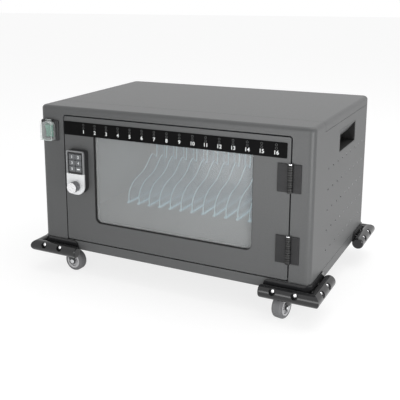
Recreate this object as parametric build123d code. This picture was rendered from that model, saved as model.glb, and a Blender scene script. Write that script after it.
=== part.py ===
from build123d import *
from math import cos, radians, sin
import os

# A laptop charging cart: a low steel cabinet on four swivel casters, with a glazed door, a keypad
# lock, a covered mains switch, perforated sides, corner bumpers and a rack of clear dividers.
# Sizes are in millimetres. X runs to the right, Y to the back and Z up, and the floor is at Z = 0.

# Cabinet
cabinet_width = 680
cabinet_depth = 464
cabinet_height = 356
floor_clearance = 65
sheet = 1.5
corner_radius = 14
top_edge_radius = 9
seam = 0.8
band_height = 22
lip_height = 10
cover_setback = 74
cover_lip = 21
fit = 0.3
contact_gap = 0.1

# Door opening, measured in from the cabinet's outer faces
left_column = 67.3
right_column = 45.9
top_rail = 19.8
opening_corner = 7
jamb_depth = 18
door_gap = 3
door_depth = 16
door_corner = 4

# Window, measured in from the door's edges
window_left_margin = 81.7
window_right_margin = 80.1
window_bottom_margin = 51
window_corner = 15
gasket_lip = 1
gasket_flange = 10
pane_setback = 8
pane_thickness = 3
retainer_lip = 4

# Label strip across the top of the door
strip_height = 32.5
strip_top_margin = 11.7
strip_right_margin = 7.6
strip_left_margin = 0.6
strip_thickness = 1.5
strip_overlap = 16

# Service bay on the left, bay floor and divider rack
service_bay = 48
floor_height = 58
floor_setback = 26
slot_count = 16
slot_pitch = 31.63
divider_thickness = 3
divider_top = 180
divider_back = 28
foot_width = 10
foot_height = 2.5
foot_back = 44
# The divider's front edge: distance ahead of the cabinet's back, height above the bay floor
divider_edge = [(235, 0), (234, 25), (210, 52), (139, 79), (88, 103), (72, 130)]

# Charging strip at the back of the bay and power module in the service bay
strip_body_depth = 24
strip_body_height = 40
strip_body_z = 268
port_width = 9
port_height = 3.2
port_depth = 8
module_depth = 190
module_height = 120
module_thickness = 30
module_setback = 70
module_foot = 12

# Mains inlet in the rear panel
inlet_width = 28
inlet_height = 48
inlet_flange = 3
inlet_depth = 24
inlet_hole_width = 17
inlet_hole_height = 23
inlet_hole_depth = 17
inlet_z = 70
contact_width = 2
contact_height = 6
contact_length = 12
contact_spread = 7

# Side perforations
vent_columns = 9
vent_rows = 5
vent_radius = 2.5
vent_pitch_y = 37.74
vent_pitch_z = 46.53
vent_first_y = 111.3
vent_top_z = 248.3

# Recessed handles in the sides
handle_front = 192
handle_length = 143
handle_height = 52
handle_z = 265
handle_depth = 32
handle_wall = 2
handle_corner = 4
grip_drop = 24
grip_depth = 17

# Corner bumpers
bumper_radius = 14
bumper_drop = 3
bumper_arm = 105
bumper_end_edge = 4
bumper_flange = 3
bumper_flange_top = 21
bumper_flange_inset = 5
bumper_flange_corner = 12
notch_radius = 7.5
notch_floor = 20
bumper_screw_rise = 3.5
# Distances of the screws from the corner. One arm has them nearer to it than the other, and each
# bumper is the one before it turned by a quarter.
bumper_screws_near = [12, 58]
bumper_screws_far = [24, 72]
screw_radius = 2.5
screw_head_radius = 5
screw_head_height = 4
screw_hole_gap = 0.1
screw_tail = 4

# Casters
caster_inset_x = 58
caster_inset_y = 24
caster_trail = 17
wheel_radius = 26
wheel_width = 24
tyre_thickness = 8
tyre_edge = 6
leg_gap = 1
leg_thickness = 2
leg_boss = 8
crown_half_length = 15
crown_thickness = 2.5
crown_clearance = 4.5
race_radius = 13
race_height = 1.7
race_gap = 0.3
kingpin_radius = 4
kingpin_head_radius = 6
kingpin_head_height = 1.3
kingpin_head_gap = 0.2
running_fit = 0.05
caster_plate_size = 44
caster_plate_thickness = 2.5
caster_bolt_spacing = 33
caster_bolt_radius = 2
caster_bolt_head = 4
caster_bolt_head_height = 2.2
axle_radius = 3
axle_head_radius = 5.5
axle_head_height = 2.8
hub_ring = 4
hub_boss = 7
hub_dish = 5
# Which way each wheel trails from its swivel, in degrees from +X, as the cart stands
caster_headings = {"front_left": -4, "front_right": -101, "rear_left": 60, "rear_right": 100}

# Hinges: the lower one's height above the cabinet's underside, the upper one's gap below the strip
lower_hinge = 93.5
hinge_strip_gap = 11
hinge_length = 60
hinge_leaf = 3
leaf_edge = 2
hinge_door_width = 23
hinge_frame_width = 17
barrel_radius = 5.5
knuckle_count = 5
knuckle_gap = 1
hinge_pin_radius = 2.5
pin_head_radius = 4.5
pin_head_height = 2

# Lock on the door
lock_x = 40.7
lock_width = 50
lock_top = 255
lock_bottom = 148
lock_body_depth = 16
lock_face_depth = 4
lock_top_corner = 5
lock_bottom_corner = 22
knob_height = 168.5
knob_radius = 13
knob_length = 18
knob_edge = 1.2
barrel_clearance = 0.1
lock_barrel_radius = 9.5
lock_barrel_reach = 9
nut_across = 27
nut_thickness = 3
spindle_radius = 4
cam_length = 52
cam_width = 16
cam_thickness = 3
keypad_width = 43
keypad_height = 54
keypad_z = 225.3
key_rows = 3
key_columns = 2
key_width = 17
key_height = 13.7
key_pitch_x = 18
key_pitch_z = 14.7
key_thickness = 2.1
key_recess = 1
key_corner = 2

# Mains switch on the left column
switch_x = 29
switch_z = 296
bezel_width = 50
bezel_height = 50
bezel_depth = 4
bezel_corner = 4
rocker_window_width = 22
rocker_window_height = 36
housing_wall = 2
housing_depth = 28
rocker_gap = 0.3
rocker_tilt = 10
rocker_pivot = 3
rocker_proud = 10
rocker_back = 6
cover_width = 33
cover_height = 46
cover_depth = 16
cover_wall = 1.5
cover_arch = 14
cover_foot_corner = 3
cover_barrel = 2.5
cover_pin = 1
cover_barrel_length = 16
ear_width = 3
ear_gap = 0.4

# What stands proud of the front and of the back, so that the origin is the middle of the footprint
front_overhang = lock_body_depth + lock_face_depth + fit + knob_length
bumper_reach = 2 * bumper_radius + fit
middle_y = (front_overhang - bumper_reach) / 2

# Limits of the cabinet and of what is cut in it
left_x = -cabinet_width / 2
right_x = cabinet_width / 2
front_y = middle_y - cabinet_depth / 2
back_y = middle_y + cabinet_depth / 2
base_z = floor_clearance
top_z = base_z + cabinet_height
pan_top = base_z + sheet
frame_bottom = base_z + band_height + seam
cover_seam_y = front_y + cover_setback
cover_seam_z = top_z - cover_lip
open_x = (left_x + left_column, right_x - right_column)
open_z = (base_z + band_height, top_z - top_rail)
door_x = (open_x[0] + door_gap, open_x[1] - door_gap)
door_z = (open_z[0] + door_gap, open_z[1] - door_gap)
strip_x = (door_x[0] + strip_left_margin, door_x[1] - strip_right_margin)
strip_z = (door_z[1] - strip_top_margin - strip_height, door_z[1] - strip_top_margin)
window_x = (door_x[0] + window_left_margin, door_x[1] - window_right_margin)
window_z = (door_z[0] + window_bottom_margin, strip_z[0] + strip_overlap)
partition_x = left_x + service_bay
inlet_x = left_x + corner_radius + inlet_width / 2 + seam
bay_x = (partition_x, right_x - sheet)
bay_floor_z = base_z + floor_height
inner_back_y = back_y - sheet
pin_x = (door_x[1] + open_x[1]) / 2
pin_y = front_y - barrel_radius - fit
lock_center_x = door_x[0] + lock_x
knob_z = base_z + knob_height
switch_center_x = left_x + switch_x
switch_center_z = base_z + switch_z
caster_center_x = right_x - caster_inset_x
caster_offset_y = cabinet_depth / 2 - caster_inset_y
crown_z = (2 * wheel_radius + crown_clearance, 2 * wheel_radius + crown_clearance + crown_thickness)
race_top = crown_z[1] + race_height
plate_bottom = base_z - caster_plate_thickness
head_seat = base_z - kingpin_head_height - kingpin_head_gap - contact_gap
lock_body_front = front_y - lock_body_depth
lock_face_front = lock_body_front - lock_face_depth
knob_back = lock_face_front - fit
cam_y = (front_y + jamb_depth + fit, front_y + jamb_depth + fit + cam_thickness)
nut_front = front_y + sheet
cover_top = switch_center_z + cover_height / 2
cover_back_y = front_y - bezel_depth - fit
cover_axis_y = cover_back_y - cover_barrel
cover_axis_z = cover_top + cover_barrel - cover_wall / 2
hinge_heights = [lower_hinge, strip_z[0] - hinge_strip_gap - hinge_length / 2 - base_z]
far = cabinet_width + cabinet_depth


def block(x, y, z):
    """A box between its limits along X, Y and Z."""
    size = Box(x[1] - x[0], y[1] - y[0], z[1] - z[0])
    return Pos((x[0] + x[1]) / 2, (y[0] + y[1]) / 2, (z[0] + z[1]) / 2) * size


def upright(x, z, y, corner=0):
    """A plate that faces the front, with limits along X, Z and Y and rounded corners."""
    plane = Plane(origin=((x[0] + x[1]) / 2, y[1], (z[0] + z[1]) / 2), x_dir=(1, 0, 0), z_dir=(0, -1, 0))
    if corner > 0:
        outline = RectangleRounded(x[1] - x[0], z[1] - z[0], corner)
    else:
        outline = Rectangle(x[1] - x[0], z[1] - z[0])
    return extrude(plane * outline, y[1] - y[0])


def sideways(y, z, x, corner):
    """A plate that faces the side, with limits along Y, Z and X and rounded corners."""
    plane = Plane(origin=(x[0], (y[0] + y[1]) / 2, (z[0] + z[1]) / 2), x_dir=(0, 1, 0), z_dir=(1, 0, 0))
    return extrude(plane * RectangleRounded(y[1] - y[0], z[1] - z[0], corner), x[1] - x[0])


def grown(limits, margin):
    """Limits moved outwards by a margin."""
    return (limits[0] - margin, limits[1] + margin)


def rod_x(x, y, z, radius):
    return Pos((x[0] + x[1]) / 2, y, z) * Rot(0, 90, 0) * Cylinder(radius, x[1] - x[0])


def rod_y(x, y, z, radius):
    return Pos(x, (y[0] + y[1]) / 2, z) * Rot(90, 0, 0) * Cylinder(radius, y[1] - y[0])


def rod_z(x, y, z, radius):
    return Pos(x, y, (z[0] + z[1]) / 2) * Cylinder(radius, z[1] - z[0])


def write(node, shape):
    """Write one named piece, or a group of like pieces, to its own file."""
    shape.label = node
    export_step(shape, f"parts/{node}.step")


def group(pieces):
    return Compound(children=list(pieces))


def case(inset):
    """The cabinet's outline as a solid, moved inwards by an inset."""
    solid = Box(cabinet_width - 2 * inset, cabinet_depth - 2 * inset, cabinet_height - 2 * inset)
    solid = fillet(solid.edges().filter_by(Axis.Z), corner_radius - inset)
    solid = fillet(solid.faces().sort_by(Axis.Z)[-1].edges(), top_edge_radius - inset)
    return Pos(0, middle_y, base_z + cabinet_height / 2) * solid


def bumper_screw_places():
    """Each bumper screw: its side sign along X and Y, the face it goes into, and its distance
    from the corner."""
    places = []
    for side in (-1, 1):
        for end in (-1, 1):
            near, far_off = ("end", "side") if side == end else ("side", "end")
            places += [(side, end, near, along) for along in bumper_screws_near]
            places += [(side, end, far_off, along) for along in bumper_screws_far]
    return places


def face_rod(side, end, face, along, inner, outer, radius):
    """A rod square to a cabinet face near a corner, from inner to outer beyond that face."""
    z = base_z + bumper_screw_rise
    if face == "end":
        x = side * (right_x - along)
        face_y = middle_y + end * cabinet_depth / 2
        limits = sorted((face_y + end * inner, face_y + end * outer))
        return rod_y(x, limits, z, radius)
    y = middle_y + end * (cabinet_depth / 2 - along)
    limits = sorted((side * (right_x + inner), side * (right_x + outer)))
    return rod_x(limits, y, z, radius)


def base_pan(shell, lining):
    """Floor of the cabinet with its upturned band, and a lip that the side panels stand round."""
    pan = shell & block((-far, far), (-far, far), (base_z, base_z + band_height))
    lip_z = (base_z + band_height / 2, base_z + band_height + lip_height)
    pan += lining & block((-far, far), (front_y + floor_setback, far), lip_z)
    hole = screw_radius + screw_hole_gap
    for side, end, face, along in bumper_screw_places():
        pan -= face_rod(side, end, face, along, -screw_tail, sheet, hole)
    return pan


def front_frame(shell):
    """Front face round the door, with jambs, a hole for the switch and the top's front strip."""
    face_y = (-far, front_y + corner_radius)
    frame = shell & block((-far, far), face_y, (frame_bottom, far))
    frame += shell & block((-far, far), (-far, cover_seam_y), (cover_seam_z, far))
    opening_z = (base_z - corner_radius, open_z[1])
    frame -= upright(open_x, opening_z, (front_y - sheet, front_y + jamb_depth), opening_corner)
    jamb = upright(grown(open_x, sheet), grown(opening_z, sheet), (front_y, front_y + jamb_depth),
                   opening_corner + sheet)
    jamb -= upright(open_x, opening_z, (front_y, front_y + jamb_depth), opening_corner)
    frame += jamb & block((-far, far), (-far, far), (frame_bottom, far))
    frame -= switch_box(housing_wall + fit, (front_y - sheet, front_y + 2 * sheet))
    return frame


def side_panel(shell, side):
    """One side with its two rounded corners, vents and the hole of the handle."""
    x = sorted((side * (right_x - corner_radius), side * far))
    low = block(x, (front_y + corner_radius, far), (frame_bottom, cover_seam_z))
    panel = shell & low
    skin = sorted((side * (right_x - 2 * sheet), side * (right_x + sheet)))
    for column in range(vent_columns):
        y = front_y + vent_first_y + column * vent_pitch_y
        for row in range(vent_rows):
            z = base_z + vent_top_z - row * vent_pitch_z
            panel -= rod_x(skin, y, z, vent_radius)
    hole_y = (front_y + handle_front, front_y + handle_front + handle_length)
    hole_z = (base_z + handle_z, base_z + handle_z + handle_height)
    panel -= sideways(hole_y, hole_z, skin, handle_corner)
    return panel


def top_cover(shell):
    """Top sheet with its turned-down lips, set behind the front strip."""
    return shell & block((-far, far), (cover_seam_y + seam, far), (cover_seam_z + seam, far))


def rear_panel(shell):
    """Back sheet, with the hole of the mains inlet."""
    x = (left_x + corner_radius, right_x - corner_radius)
    panel = shell & block(x, (back_y - corner_radius, far), (frame_bottom, cover_seam_z))
    hole_x = grown((inlet_x, inlet_x), inlet_width / 2 - inlet_flange + fit)
    hole_z = grown((base_z + inlet_z, base_z + inlet_z), inlet_height / 2 - inlet_flange * 2 + fit)
    return panel - upright(hole_x, hole_z, (back_y - corner_radius, back_y + sheet))


def partition(inner_case):
    """Wall of the service bay, standing on the pan and reaching the top."""
    y = (front_y + floor_setback, inner_back_y)
    wall = block((partition_x - sheet, partition_x), y, (pan_top, top_z - sheet))
    foot = block((partition_x - module_foot, partition_x), y, (pan_top, pan_top + sheet))
    clear_top = frame_bottom + lip_height + sheet
    lip_clear = block((-far, far), (inner_back_y - 2 * sheet, far), (pan_top, clear_top))
    return (wall + foot - lip_clear) & inner_case


def bay_floor():
    """Raised floor of the laptop bay on a front and a back leg."""
    y = (front_y + floor_setback, inner_back_y - strip_body_depth)
    x = (bay_x[0], bay_x[1] - 2 * sheet)
    floor = block(x, y, (bay_floor_z - sheet, bay_floor_z))
    floor += block(x, (y[0], y[0] + sheet), (pan_top, bay_floor_z))
    floor += block(x, (y[1] - sheet, y[1]), (pan_top, bay_floor_z))
    return floor


def divider_x(number):
    """Place of a divider along X; the rack is centred in the bay."""
    return (bay_x[0] + bay_x[1]) / 2 + (number - slot_count / 2) * slot_pitch


def divider(number):
    """A clear upright sheet with an S-shaped front edge and a foot."""
    points = [(back_y - ahead, bay_floor_z + z) for ahead, z in divider_edge]
    top = bay_floor_z + divider_top
    back = back_y - divider_back
    edge = Spline(*points, tangents=((0, 1), (0, 1)))
    rest = Polyline(points[-1], (points[-1][0], top), (back, top), (back, bay_floor_z), points[0])
    face = make_face((edge + rest).edges())
    x = divider_x(number)
    plane = Plane(origin=(x - divider_thickness / 2, 0, 0), x_dir=(0, 1, 0), z_dir=(1, 0, 0))
    sheet_solid = extrude(plane * face, divider_thickness)
    foot_y = (points[0][0] - foot_width / 2, back_y - foot_back)
    foot = block((x - foot_width / 2, x + foot_width / 2), foot_y, (bay_floor_z, bay_floor_z + foot_height))
    return sheet_solid + fillet(foot.edges().filter_by(Axis.Z), foot_width / 3)


def charging_strip():
    """Housing across the back of the bay with one port for each slot."""
    x = (bay_x[0], right_x - corner_radius - seam)
    y = (inner_back_y - strip_body_depth, inner_back_y)
    z = (base_z + strip_body_z, base_z + strip_body_z + strip_body_height)
    body = block(x, y, z)
    body = chamfer(body.edges().filter_by(Axis.X).group_by(Axis.Y)[0], sheet)
    middle = (z[0] + z[1]) / 2
    for number in range(slot_count):
        x_port = divider_x(number) + slot_pitch / 2
        port_x = grown((x_port, x_port), port_width / 2)
        port_z = grown((middle, middle), port_height / 2)
        body -= upright(port_x, port_z, (y[0] - sheet, y[0] + port_depth), port_height / 2 - contact_gap)
    return body


def power_module():
    """Power supply in the service bay, fastened to the partition by its flanges."""
    x = (partition_x - sheet - module_thickness, partition_x - sheet)
    y = (front_y + module_setback, front_y + module_setback + module_depth)
    z = (pan_top + floor_height / 2, pan_top + floor_height / 2 + module_height)
    body = block(x, y, z)
    body = chamfer(body.edges().filter_by(Axis.Y).group_by(Axis.X)[0], handle_wall)
    flange = block((x[1] - handle_wall, x[1]), grown(y, module_foot), z)
    return body + flange


def mains_inlet():
    """Three-pin appliance inlet with its flange on the rear panel."""
    x = inlet_x
    z = base_z + inlet_z
    body_x = grown((x, x), inlet_width / 2 - inlet_flange)
    body_z = grown((z, z), inlet_height / 2 - inlet_flange * 2)
    inlet = upright(body_x, body_z, (back_y - inlet_depth, back_y))
    inlet += upright(grown((x, x), inlet_width / 2), grown((z, z), inlet_height / 2),
                     (back_y, back_y + inlet_flange), inlet_flange)
    mouth_y = (back_y + inlet_flange - inlet_hole_depth, back_y + inlet_flange)
    inlet -= upright(grown((x, x), inlet_hole_width / 2), grown((z, z), inlet_hole_height / 2), mouth_y,
                     inlet_flange)
    for step in (-1, 0, 1):
        pin_center = z + step * contact_spread
        inlet += block(grown((x, x), contact_height / 2), (mouth_y[0], mouth_y[0] + contact_length),
                       grown((pin_center, pin_center), contact_width / 2))
    return inlet


def side_handle(side):
    """Recessed cup with a sloping grip plate under its top edge and a gusset at each end."""
    y = (front_y + handle_front + fit, front_y + handle_front + handle_length - fit)
    z = (base_z + handle_z + fit, base_z + handle_z + handle_height - fit)
    face = right_x
    cup = sideways(y, z, (face - handle_depth, face), handle_corner - fit)
    inner_y = grown(y, -handle_wall)
    inner_z = grown(z, -handle_wall)
    cup -= sideways(inner_y, inner_z, (face - handle_depth + handle_wall, face), handle_corner - handle_wall)
    slope = [(face - handle_wall / 2, inner_z[1]), (face - handle_wall / 2, inner_z[1] - handle_wall),
             (face - grip_depth, inner_z[1] - grip_drop),
             (face - grip_depth - handle_wall, inner_z[1] - grip_drop),
             (face - 2 * handle_wall, inner_z[1])]
    plane = Plane(origin=(0, inner_y[1], 0), x_dir=(1, 0, 0), z_dir=(0, -1, 0))
    cup += extrude(plane * make_face(Polyline(*slope, close=True).edges()), inner_y[1] - inner_y[0])
    gusset = [(face - handle_wall / 2, inner_z[1]), (face - handle_wall / 2, inner_z[0]),
              (face - 2 * handle_wall, inner_z[0]), (face - grip_depth, inner_z[1] - grip_drop)]
    outline = make_face(Polyline(*gusset, close=True).edges())
    for end_y in (inner_y[0] + handle_wall, inner_y[1]):
        end = Plane(origin=(0, end_y, 0), x_dir=(1, 0, 0), z_dir=(0, -1, 0))
        cup += extrude(end * outline, handle_wall)
    if side < 0:
        cup = mirror(cup, about=Plane.YZ)
    return cup


def bumper(side, end):
    """Two round bars mitred at one bottom corner, with a flange against the cabinet and screw notches."""
    offset = bumper_radius + fit
    z = base_z - bumper_drop
    x_bar = right_x + offset
    y_bar = cabinet_depth / 2 + offset
    x_arm = rod_x((right_x - bumper_arm, x_bar + offset), y_bar, z, bumper_radius)
    x_arm = fillet(x_arm.edges().sort_by(Axis.X)[0], bumper_end_edge)
    y_arm = rod_y(x_bar, (cabinet_depth / 2 - bumper_arm, y_bar + offset), z, bumper_radius)
    y_arm = fillet(y_arm.edges().sort_by(Axis.Y)[0], bumper_end_edge)
    mitre = Pos(x_bar, y_bar, z) * Rot(0, 0, 45) * Pos(0, far / 2, 0) * Box(2 * far, far, far)
    bar = (x_arm & mitre) + (y_arm - mitre)
    flange_z = (z, base_z + bumper_flange_top)
    outer = corner_wall(bumper_flange + contact_gap, flange_z)
    outer -= corner_wall(contact_gap, grown(flange_z, sheet))
    flange_arm = bumper_arm - bumper_flange_inset
    reach_x = upright((right_x - flange_arm, far), (z - far / 2, flange_z[1]),
                      (cabinet_depth / 2 - sheet, far), bumper_flange_corner)
    reach_y = sideways((cabinet_depth / 2 - flange_arm, far), (z - far / 2, flange_z[1]),
                       (right_x - corner_radius, far), bumper_flange_corner)
    shape = bar + (outer & (reach_x + reach_y))
    shape = Pos(0, middle_y, 0) * shape
    hole = screw_radius + screw_hole_gap
    for screw_side, screw_end, face, along in bumper_screw_places():
        if (screw_side, screw_end) == (side, end):
            shape -= face_rod(1, 1, face, along, -screw_tail, far, hole)
            shape -= face_rod(1, 1, face, along, notch_floor, 2 * bumper_reach, notch_radius)
    if side < 0:
        shape = mirror(shape, about=Plane.YZ)
    if end < 0:
        shape = mirror(shape, about=Plane(origin=(0, middle_y, 0), z_dir=(0, 1, 0)))
    return shape


def corner_wall(margin, z):
    """The cabinet's plan, moved outwards by a margin, as an upright block centred on X and Y."""
    solid = Box(cabinet_width + 2 * margin, cabinet_depth + 2 * margin, z[1] - z[0])
    solid = fillet(solid.edges().filter_by(Axis.Z), corner_radius + margin)
    return Pos(0, 0, (z[0] + z[1]) / 2) * solid


def bumper_screw(side, end, face, along):
    """Domed screw from a bumper's notch into the pan's band."""
    shaft = face_rod(side, end, face, along, -screw_tail, notch_floor, screw_radius)
    head = face_rod(side, end, face, along, notch_floor, notch_floor + screw_head_height, screw_head_radius)
    sign = end if face == "end" else side
    axis = Axis.Y if face == "end" else Axis.X
    rims = head.faces().filter_by(GeomType.PLANE).sort_by(axis)
    outer_face = rims[-1] if sign > 0 else rims[0]
    return shaft + fillet(outer_face.edges(), screw_head_height - fit)


def caster_places():
    """Each caster's name and the place of its swivel axis."""
    return {
        "front_left": (-caster_center_x, middle_y - caster_offset_y),
        "front_right": (caster_center_x, middle_y - caster_offset_y),
        "rear_left": (-caster_center_x, middle_y + caster_offset_y),
        "rear_right": (caster_center_x, middle_y + caster_offset_y),
    }


def caster_plate(x, y):
    """Top plate with the fixed half of the swivel race."""
    size = caster_plate_size / 2
    plate = block((-size, size), (-size, size), (plate_bottom, base_z))
    plate = fillet(plate.edges().filter_by(Axis.Z), caster_bolt_head)
    plate += rod_z(0, 0, (race_top + race_gap, base_z), race_radius)
    plate -= rod_z(0, 0, (crown_z[0], top_z), kingpin_radius + running_fit)
    plate -= rod_z(0, 0, (head_seat, top_z), kingpin_head_radius + fit)
    spread = caster_bolt_spacing / 2
    for bolt_x in (-spread, spread):
        for bolt_y in (-spread, spread):
            plate -= rod_z(bolt_x, bolt_y, (crown_z[0], top_z), caster_bolt_radius + screw_hole_gap)
    return Pos(x, y, 0) * plate


def caster_bolts(x, y):
    """Four bolts that hold a top plate; each hangs from the pan's underside."""
    bolts = []
    spread = caster_bolt_spacing / 2
    head_z = (plate_bottom - caster_bolt_head_height, plate_bottom)
    for bolt_x in (x - spread, x + spread):
        for bolt_y in (y - spread, y + spread):
            bolt = rod_z(bolt_x, bolt_y, (plate_bottom, base_z), caster_bolt_radius)
            bolts.append(bolt + rod_z(bolt_x, bolt_y, head_z, caster_bolt_head))
    return bolts


def caster_fork():
    """Fork with its crown, the turning half of the race and the kingpin."""
    half = wheel_width / 2 + leg_gap
    fork = block((-crown_half_length, crown_half_length), grown((-half, half), leg_thickness), crown_z)
    fork += rod_z(0, 0, (crown_z[0], race_top), race_radius)
    fork += rod_z(0, 0, (crown_z[0], base_z - contact_gap), kingpin_radius)
    fork += rod_z(0, 0, (head_seat + kingpin_head_gap, base_z - contact_gap), kingpin_head_radius)
    outline = [(-crown_half_length, crown_z[1]), (crown_half_length, crown_z[1]),
               (caster_trail + leg_boss, wheel_radius), (caster_trail - leg_boss, wheel_radius)]
    for start in (-half, half + leg_thickness):
        plane = Plane(origin=(0, start, 0), x_dir=(1, 0, 0), z_dir=(0, -1, 0))
        fork += extrude(plane * make_face(Polyline(*outline, close=True).edges()), leg_thickness)
        fork += rod_y(caster_trail, (start - leg_thickness, start), wheel_radius, leg_boss)
    fork -= rod_y(caster_trail, (-far, far), wheel_radius, axle_radius + running_fit)
    return fork


def caster_axle():
    """Axle bolt with a head and a nut outside the legs."""
    half = wheel_width / 2 + leg_gap + leg_thickness
    axle = rod_y(caster_trail, (-half, half), wheel_radius, axle_radius)
    for limits in ((-half - axle_head_height, -half), (half, half + axle_head_height)):
        head = rod_y(caster_trail, limits, wheel_radius, axle_head_radius)
        rim = head.edges().sort_by(Axis.Y)
        outer = rim[0] if limits[0] < 0 else rim[-1]
        axle += fillet(outer, axle_head_height / 2)
    return axle


def caster_tyre():
    """Soft tyre with rounded shoulders."""
    limits = (-wheel_width / 2, wheel_width / 2)
    tyre = rod_y(caster_trail, limits, wheel_radius, wheel_radius)
    tyre = fillet(tyre.edges().filter_by(GeomType.CIRCLE), tyre_edge)
    return tyre - rod_y(caster_trail, limits, wheel_radius, wheel_radius - tyre_thickness)


def caster_hub():
    """Wheel centre with a dished face on each side and a bore on the axle."""
    half = wheel_width / 2
    rim = wheel_radius - tyre_thickness
    hub = rod_y(caster_trail, (-half, half), wheel_radius, rim)
    for limits in ((-half, hub_dish - half), (half - hub_dish, half)):
        dish = rod_y(caster_trail, limits, wheel_radius, rim - hub_ring)
        hub -= dish - rod_y(caster_trail, limits, wheel_radius, hub_boss)
    return hub - rod_y(caster_trail, (-half, half), wheel_radius, axle_radius + running_fit)


def door_panel():
    """Front skin of the door with its turned edges, window, and holes for the lock."""
    y = (front_y, front_y + door_depth)
    skin_y = (front_y, front_y + sheet)
    panel = upright(door_x, door_z, y, door_corner)
    panel -= upright(grown(door_x, -sheet), grown(door_z, -sheet), (skin_y[1], y[1]), door_corner - sheet)
    panel -= upright(window_x, window_z, skin_y, window_corner)
    return panel - rod_y(lock_center_x, skin_y, knob_z, lock_barrel_radius + barrel_clearance)


def window_plate(margin, y):
    """The window's outline, moved outwards by a margin, as a plate."""
    return upright(grown(window_x, margin), grown(window_z, margin), y, window_corner + margin)


def window_gasket():
    """Rubber lining of the window: a lip in the opening and a flange between skin and pane."""
    lip = window_plate(0, (front_y + fit, front_y + sheet))
    flange = window_plate(gasket_flange, (front_y + sheet, front_y + pane_setback))
    return lip + flange - window_plate(-gasket_lip, (front_y, front_y + pane_setback))


def window_pane():
    return window_plate(gasket_flange, (front_y + pane_setback, front_y + pane_setback + pane_thickness))


def window_retainer():
    """Steel frame that holds pane and gasket against the door's skin."""
    pane_back = front_y + pane_setback + pane_thickness
    frame = window_plate(gasket_flange + sheet, (front_y + sheet, pane_back + sheet))
    frame -= window_plate(gasket_flange, (front_y + sheet, pane_back))
    return frame - window_plate(-retainer_lip, (pane_back, pane_back + sheet))


def label_strip():
    return upright(strip_x, strip_z, (front_y - strip_thickness, front_y), strip_thickness)


def knuckle_limits(hinge_z):
    """Z limits of the hinge's knuckles, from the bottom up."""
    low = base_z + hinge_z - hinge_length / 2
    pitch = hinge_length / knuckle_count
    return [(low + k * pitch + knuckle_gap / 2, low + (k + 1) * pitch - knuckle_gap / 2)
            for k in range(knuckle_count)]


def hinge_half(hinge_z, leaf_x, first):
    """One leaf of a butt hinge with every second knuckle, cut clear of the other half's."""
    z = (base_z + hinge_z - hinge_length / 2, base_z + hinge_z + hinge_length / 2)
    half = upright(leaf_x, z, (front_y - hinge_leaf, front_y))
    rims = half.faces().sort_by(Axis.Y)[0].edges().filter_by(Axis.Z).sort_by(Axis.X)
    half = fillet(rims[-1] if leaf_x[0] > pin_x - barrel_radius else rims[0], leaf_edge)
    half = half - rod_z(pin_x, pin_y, z, barrel_radius + fit)
    for number, limits in enumerate(knuckle_limits(hinge_z)):
        if number % 2 == first:
            half += rod_z(pin_x, pin_y, limits, barrel_radius)
            web_x = sorted((pin_x, leaf_x[0] if leaf_x[0] > pin_x else leaf_x[1]))
            half += block(web_x, (front_y - hinge_leaf, pin_y + barrel_radius), limits)
    return half - rod_z(pin_x, pin_y, z, hinge_pin_radius + running_fit)


def hinge_pin(hinge_z):
    """Pin with a head above the barrel."""
    low = base_z + hinge_z - hinge_length / 2
    high = base_z + hinge_z + hinge_length / 2
    head = rod_z(pin_x, pin_y, (high, high + pin_head_height), pin_head_radius)
    head = fillet(head.edges().sort_by(Axis.Z)[-1], pin_head_height / 2)
    return rod_z(pin_x, pin_y, (low, high), hinge_pin_radius) + head


def lock_outline(y):
    """The lock's front outline as a plate, square above and round below."""
    x = grown((lock_center_x, lock_center_x), lock_width / 2)
    z = (base_z + lock_bottom, base_z + lock_top)
    top = upright(x, z, y, lock_top_corner) & block((-far, far), (-far, far), (knob_z, far))
    bottom = upright(x, z, y, lock_bottom_corner) & block((-far, far), (-far, far), (0, knob_z))
    return top + bottom


def lock_body():
    """Body of the lock on the door, with its threaded barrel through the skin."""
    body = lock_outline((lock_body_front, front_y))
    body += rod_y(lock_center_x, (front_y, front_y + lock_barrel_reach), knob_z, lock_barrel_radius)
    return body - rod_y(lock_center_x, (-far, far), knob_z, spindle_radius + running_fit)


def lock_face():
    """Metal face of the lock with the window of the keypad."""
    face = lock_outline((lock_face_front, lock_body_front))
    center_z = base_z + keypad_z
    well_x = grown((lock_center_x, lock_center_x), keypad_width / 2)
    well_z = grown((center_z, center_z), keypad_height / 2)
    face -= upright(well_x, well_z, (lock_face_front, lock_body_front), key_corner)
    return face - rod_y(lock_center_x, (-far, far), knob_z, spindle_radius + running_fit)


def lock_nut():
    """Hexagon nut on the lock's barrel behind the door's skin."""
    nut_back = (lock_center_x, nut_front + nut_thickness, knob_z)
    plane = Plane(origin=nut_back, x_dir=(1, 0, 0), z_dir=(0, -1, 0))
    nut = extrude(plane * RegularPolygon(nut_across / 2, 6, major_radius=False), nut_thickness)
    return nut - rod_y(lock_center_x, (-far, far), knob_z, lock_barrel_radius + running_fit)


def lock_knob():
    """Knob with the spindle that carries the cam."""
    knob = rod_y(lock_center_x, (knob_back - knob_length, knob_back), knob_z, knob_radius)
    knob = fillet(knob.edges().sort_by(Axis.Y)[0], knob_edge)
    return knob + rod_y(lock_center_x, (knob_back, cam_y[1]), knob_z, spindle_radius)


def lock_cam():
    """Tongue on the spindle; it hangs down when open and reaches behind the jamb when locked."""
    half = cam_width / 2
    cam = rod_y(lock_center_x, cam_y, knob_z, half)
    cam += block((lock_center_x - half, lock_center_x + half), cam_y, (knob_z - cam_length + half, knob_z))
    cam += rod_y(lock_center_x, cam_y, knob_z - cam_length + half, half)
    return cam - rod_y(lock_center_x, cam_y, knob_z, spindle_radius + running_fit)


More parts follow.
